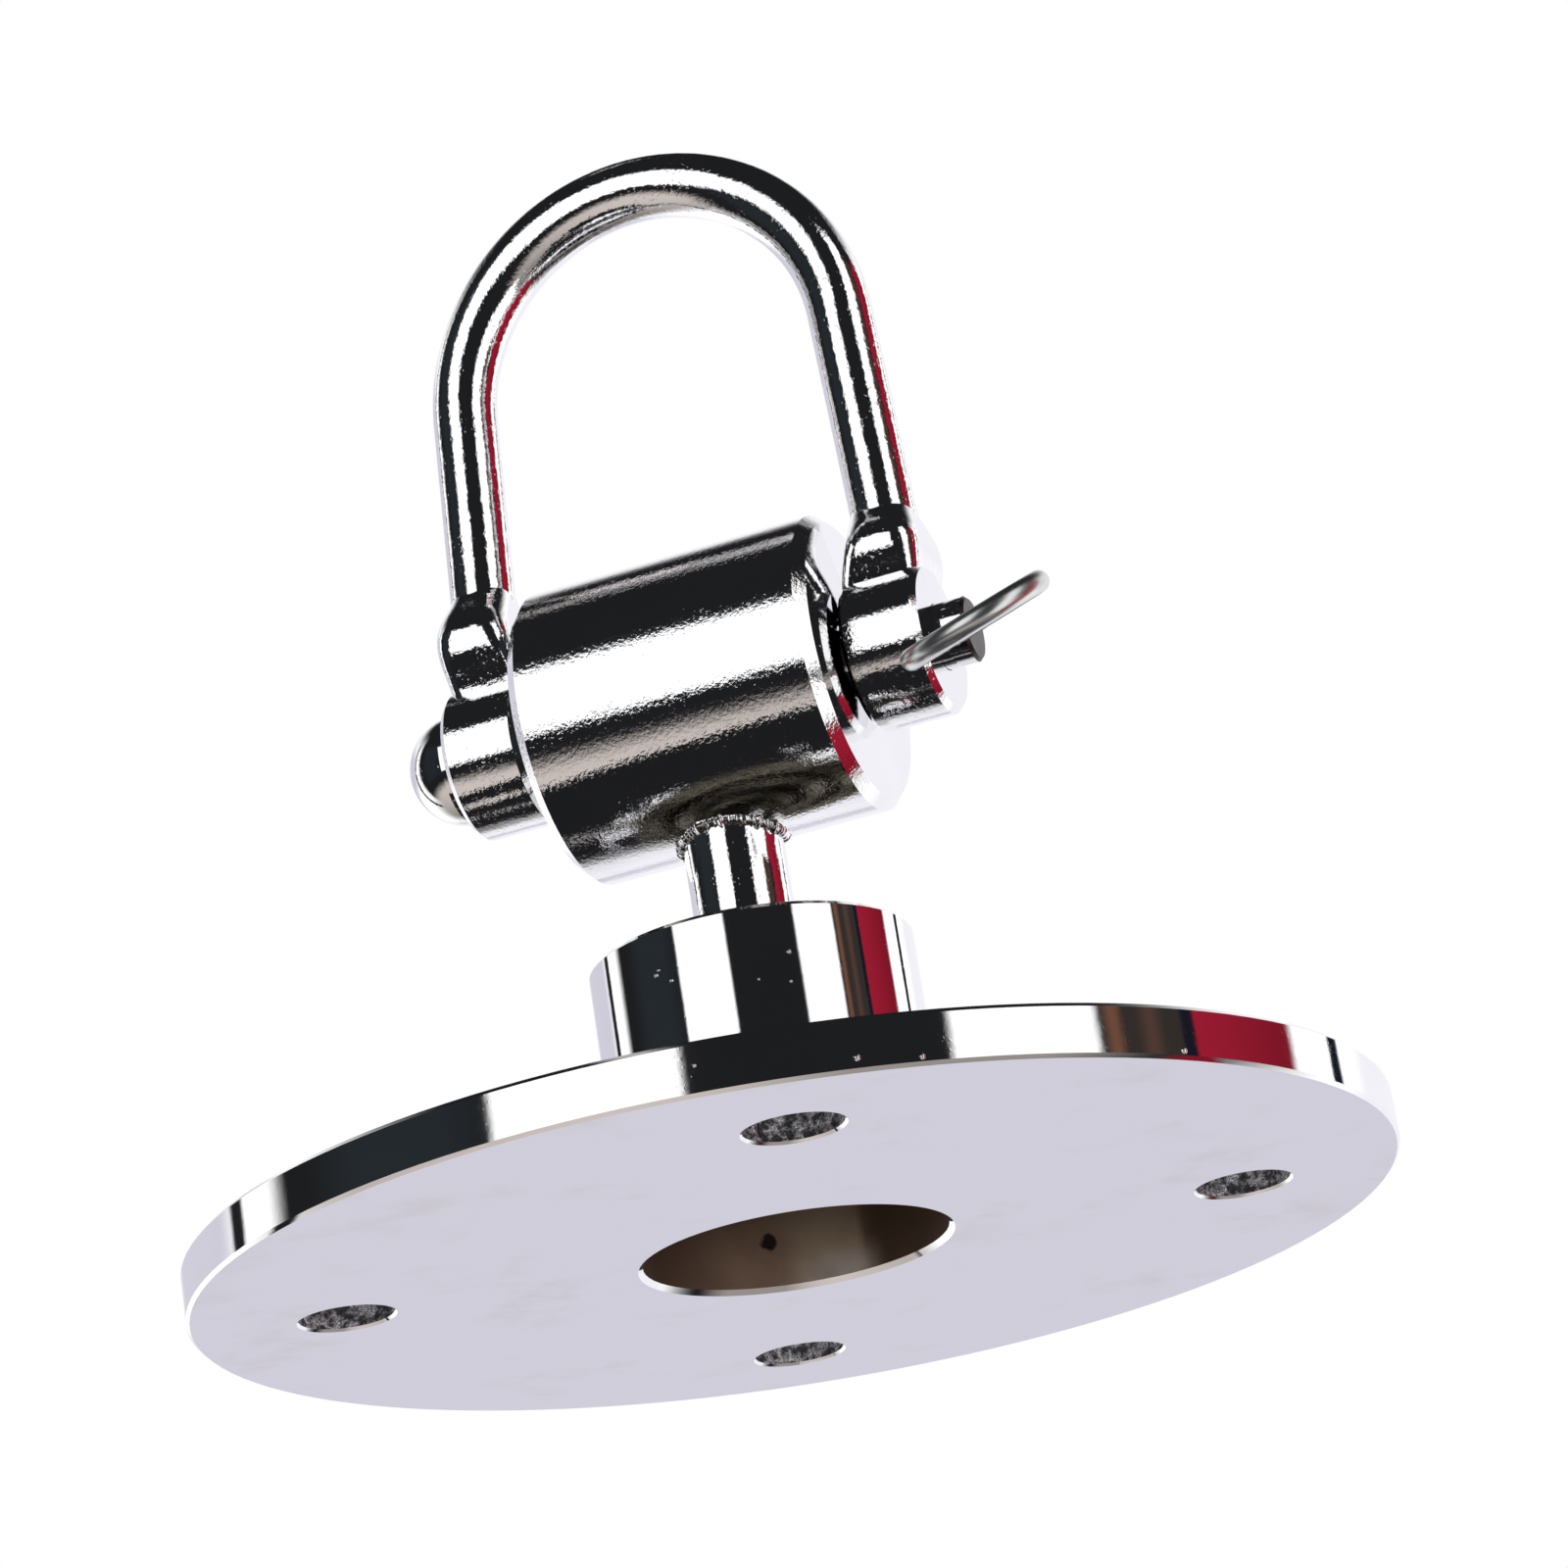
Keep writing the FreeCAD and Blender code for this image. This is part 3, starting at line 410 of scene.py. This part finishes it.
def repaint(mesh, face, material):
    """Gives one face another of its mesh's materials."""
    face.material_index = mesh.materials.find(material.name)


for name, material in {
    "split_cotter": wire_steel,
    "bearing_outer_ring": ring_steel,
    "bearing_inner_ring": ring_steel,
    "bearing_balls": ring_steel,
    "bearing_cage": zinc_steel,
    "bearing_shield_upper": zinc_steel,
    "bearing_shield_lower": zinc_steel,
    "stem_washer": zinc_steel,
    "lock_nut": zinc_steel,
    "nut_insert": insert_nylon,
    "stem_weld": weld_plate,
}.items():
    dress(name, material)

# The barrel's ends and the flats of the shackle's eyes are turned smooth
for name, material in (("swivel_barrel", barrel_plate), ("shackle", forging_plate)):
    mesh = dress(name, material, flange_plate)
    for face in mesh.polygons:
        near_pin = math.hypot(face.center.y, face.center.z + PIN_DEPTH) < BARREL_RADIUS
        if near_pin and abs(face.normal.x) > SQUARE_ON:
            repaint(mesh, face, flange_plate)

# The stem's hidden end is plain turned steel
stem = dress("swivel_stem", stem_plate, zinc_steel)
for face in stem.polygons:
    if face.center.z > -HUB_DEPTH:
        repaint(stem, face, zinc_steel)

# The pin's free end is duller than its head, and its near-black tint is painted shade
pin = dress("clevis_pin", pin_plate, shaded_pin_end_steel)
for face in pin.polygons:
    if face.center.x < PIN_TAIL:
        repaint(pin, face, shaded_pin_end_steel)

# The flange's drilled walls, bore, mounting face and hub end have finishes of their own
flange = dress("mounting_flange", flange_plate, hole_wall, bore_steel, face_plate, hub_end)
turns = [BOLT_TURN + k * math.pi / 2 for k in range(4)]
holes = [Vector((math.cos(turn), math.sin(turn))) * BOLT_CIRCLE_RADIUS for turn in turns]
for face in flange.polygons:
    spot = face.center.to_2d()
    upright = abs(face.normal.z) < EDGE_ON
    if upright and min((spot - hole).length for hole in holes) < BOLT_HOLE_RADIUS + WALL_SLACK:
        repaint(flange, face, hole_wall)
    elif upright and spot.length < BORE_RADIUS + WALL_SLACK:
        repaint(flange, face, bore_steel)
    elif face.normal.z > SQUARE_ON and face.center.z > -FLAT_SLACK:
        repaint(flange, face, face_plate)
    elif face.normal.z < -SQUARE_ON and face.center.z < FLAT_SLACK - HUB_DEPTH:
        repaint(flange, face, hub_end)


def add_piece(name, mesh, material, body):
    """Makes a visual piece from a bmesh and lets it ride on a body."""
    bmesh.ops.recalc_face_normals(mesh, faces=mesh.faces)
    data = bpy.data.meshes.new(name)
    mesh.to_mesh(data)
    mesh.free()
    for face in data.polygons:
        face.use_smooth = True
    data.materials.append(material)
    piece = bpy.data.objects.new(name, data)
    bpy.context.scene.collection.objects.link(piece)
    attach(piece, body)
    return piece


def skin(mesh, rows):
    """Joins each closed row of points to the next one with faces."""
    for near, far in zip(rows, rows[1:]):
        for j in range(len(near)):
            k = (j + 1) % len(near)
            mesh.faces.new((near[j], near[k], far[k], far[j]))


def barrel_top(y):
    """Height of the barrel's surface above a point off its axis."""
    return math.sqrt(BARREL_RADIUS ** 2 - y ** 2) - PIN_DEPTH


def make_weld():
    """Small uneven weld bead where the stem enters the barrel."""
    turns, steps = 320, 12
    thin, lumpy, gritty = 0.00065, 0.0006, 0.00008
    inset, sink = 0.0002, 0.00005
    mesh = bmesh.new()
    rows = []
    for i in range(turns):
        angle = 2 * math.pi * i / turns
        way = Vector((math.cos(angle), math.sin(angle), 0))
        lump = abs(noise.noise(way * 10.0)) + 0.5 * noise.noise(way * 23.0)
        reach = thin + lumpy * max(lump, 0)
        row = []
        for j in range(steps + 1):
            turn = j / steps * math.pi / 2
            point = way * (STEM_RADIUS - inset + (reach + inset) * math.sin(turn))
            grit = gritty * noise.noise(way * 40 + Vector((0, 0, j * 0.6)))
            point.z = barrel_top(point.y) + reach * math.cos(turn) + grit - sink
            row.append(mesh.verts.new(point))
        foot = way * (STEM_RADIUS - inset)
        foot.z = barrel_top(foot.y) - 2 * sink
        row.append(mesh.verts.new(foot))
        rows.append(row)
    skin(mesh, rows + rows[:1])
    bead = add_piece("weld_bead", mesh, weld_plate, "swivel")
    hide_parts("stem_weld")


def make_thread():
    """Thread on the part of the stem that stands above its nut."""
    steps, turns, run_out = 96, 1.5, 12
    pitch, ridge, half, sunk = 0.001, 0.00028, 0.00034, 0.0001
    mesh = bmesh.new()
    rows = []
    for i in range(int(steps * turns) + 1):
        angle = 2 * math.pi * i / steps
        way = Vector((math.cos(angle), math.sin(angle), 0))
        level = NUT_TOP + half + pitch * i / steps
        fade = min(1, i / run_out, (steps * turns - i) / run_out)
        row = []
        for lift, stand in ((-half, -sunk), (0, ridge * fade), (half, -sunk)):
            height = min(level + lift, SPIGOT_TOP)
            core = SPIGOT_RADIUS - max(0, height - SPIGOT_TOP + SPIGOT_CHAMFER)
            row.append(mesh.verts.new(way * (core + stand) + Vector((0, 0, height))))
        rows.append(row)
    skin(mesh, rows)
    mesh.faces.new(rows[0])
    mesh.faces.new(rows[-1])
    add_piece("stem_thread", mesh, zinc_steel, "swivel")


# Nodules in the plating, as angle about the axis in degrees, height and radius in metres
HUB_NODULES = [
    (-73.5, -0.0304, 0.0003), (-79.3, -0.0292, 0.00026), (-121.5, -0.0298, 0.00034),
    (-120.6, -0.0263, 0.00024), (-109.8, -0.027, 0.0002), (-74.8, -0.0309, 0.0002), (38, -0.022, 0.00026),
]
RIM_NODULES = [
    (-115.9, -0.0015, 0.0004), (-121.4, -0.0009, 0.00036), (-102.4, -0.0033, 0.00024),
    (-146.5, -0.0009, 0.0004), (71, -0.0031, 0.0003), (162, -0.0024, 0.00026),
]


def make_nodules():
    """Tiny balls let into the hub and the rim by a share of their radius."""
    sunk = 0.4
    mesh = bmesh.new()
    for radius, spots in ((HUB_RADIUS, HUB_NODULES), (PLATE_RADIUS, RIM_NODULES)):
        for degrees, height, size in spots:
            turn = Matrix.Rotation(math.radians(degrees), 4, "Z")
            place = turn @ Matrix.Translation((radius - sunk * size, 0, height))
            bmesh.ops.create_icosphere(mesh, subdivisions=2, radius=size, matrix=place)
    add_piece("plating_nodules", mesh, flange_plate, "flange")


def make_floor():
    """Pale floor far below the object, white to the camera."""
    bpy.ops.mesh.primitive_plane_add(size=20, location=(0, 0, -2))
    floor = bpy.context.object
    floor.name = "floor"
    material = bpy.data.materials.new("floor_white")
    material.use_nodes = True
    make = Shader(material.node_tree)
    rays = make.node("ShaderNodeLightPath")
    paint = make.node("ShaderNodeBsdfDiffuse")
    paint.inputs["Color"].default_value = (0.9, 0.9, 0.9, 1)
    shine = make.node("ShaderNodeEmission")
    choose = make.node("ShaderNodeMixShader")
    make.link(rays.outputs["Is Camera Ray"], choose.inputs[0])
    make.link(paint.outputs[0], choose.inputs[1])
    make.link(shine.outputs[0], choose.inputs[2])
    output = make.node("ShaderNodeOutputMaterial")
    make.link(choose.outputs[0], output.inputs[0])
    floor.data.materials.append(material)
    floor.visible_glossy = False
    floor.visible_diffuse = False
    floor.visible_shadow = False


def make_camera():
    """Camera where the photograph was taken from, turned over so that the plate is at the bottom."""
    place = Vector((-0.17255, -0.51612, 0.13679))
    across = Vector((-0.92417, 0.35151, 0.14948))
    upward = Vector((-0.25177, -0.26629, -0.93043))
    back = Vector((-0.28724, -0.89751, 0.33460))
    data = bpy.data.cameras.new("camera")
    data.sensor_fit = "HORIZONTAL"
    data.sensor_width = 36
    data.lens = 111.81
    data.clip_start = 0.01
    camera = bpy.data.objects.new("camera", data)
    bpy.context.scene.collection.objects.link(camera)
    turn = Matrix((across, upward, back)).transposed().to_4x4()
    camera.matrix_world = Matrix.Translation(place) @ turn
    bpy.context.scene.camera = camera


make_weld()
make_thread()
make_nodules()
make_world()
make_floor()
make_camera()
bpy.context.scene.view_settings.view_transform = "Standard"
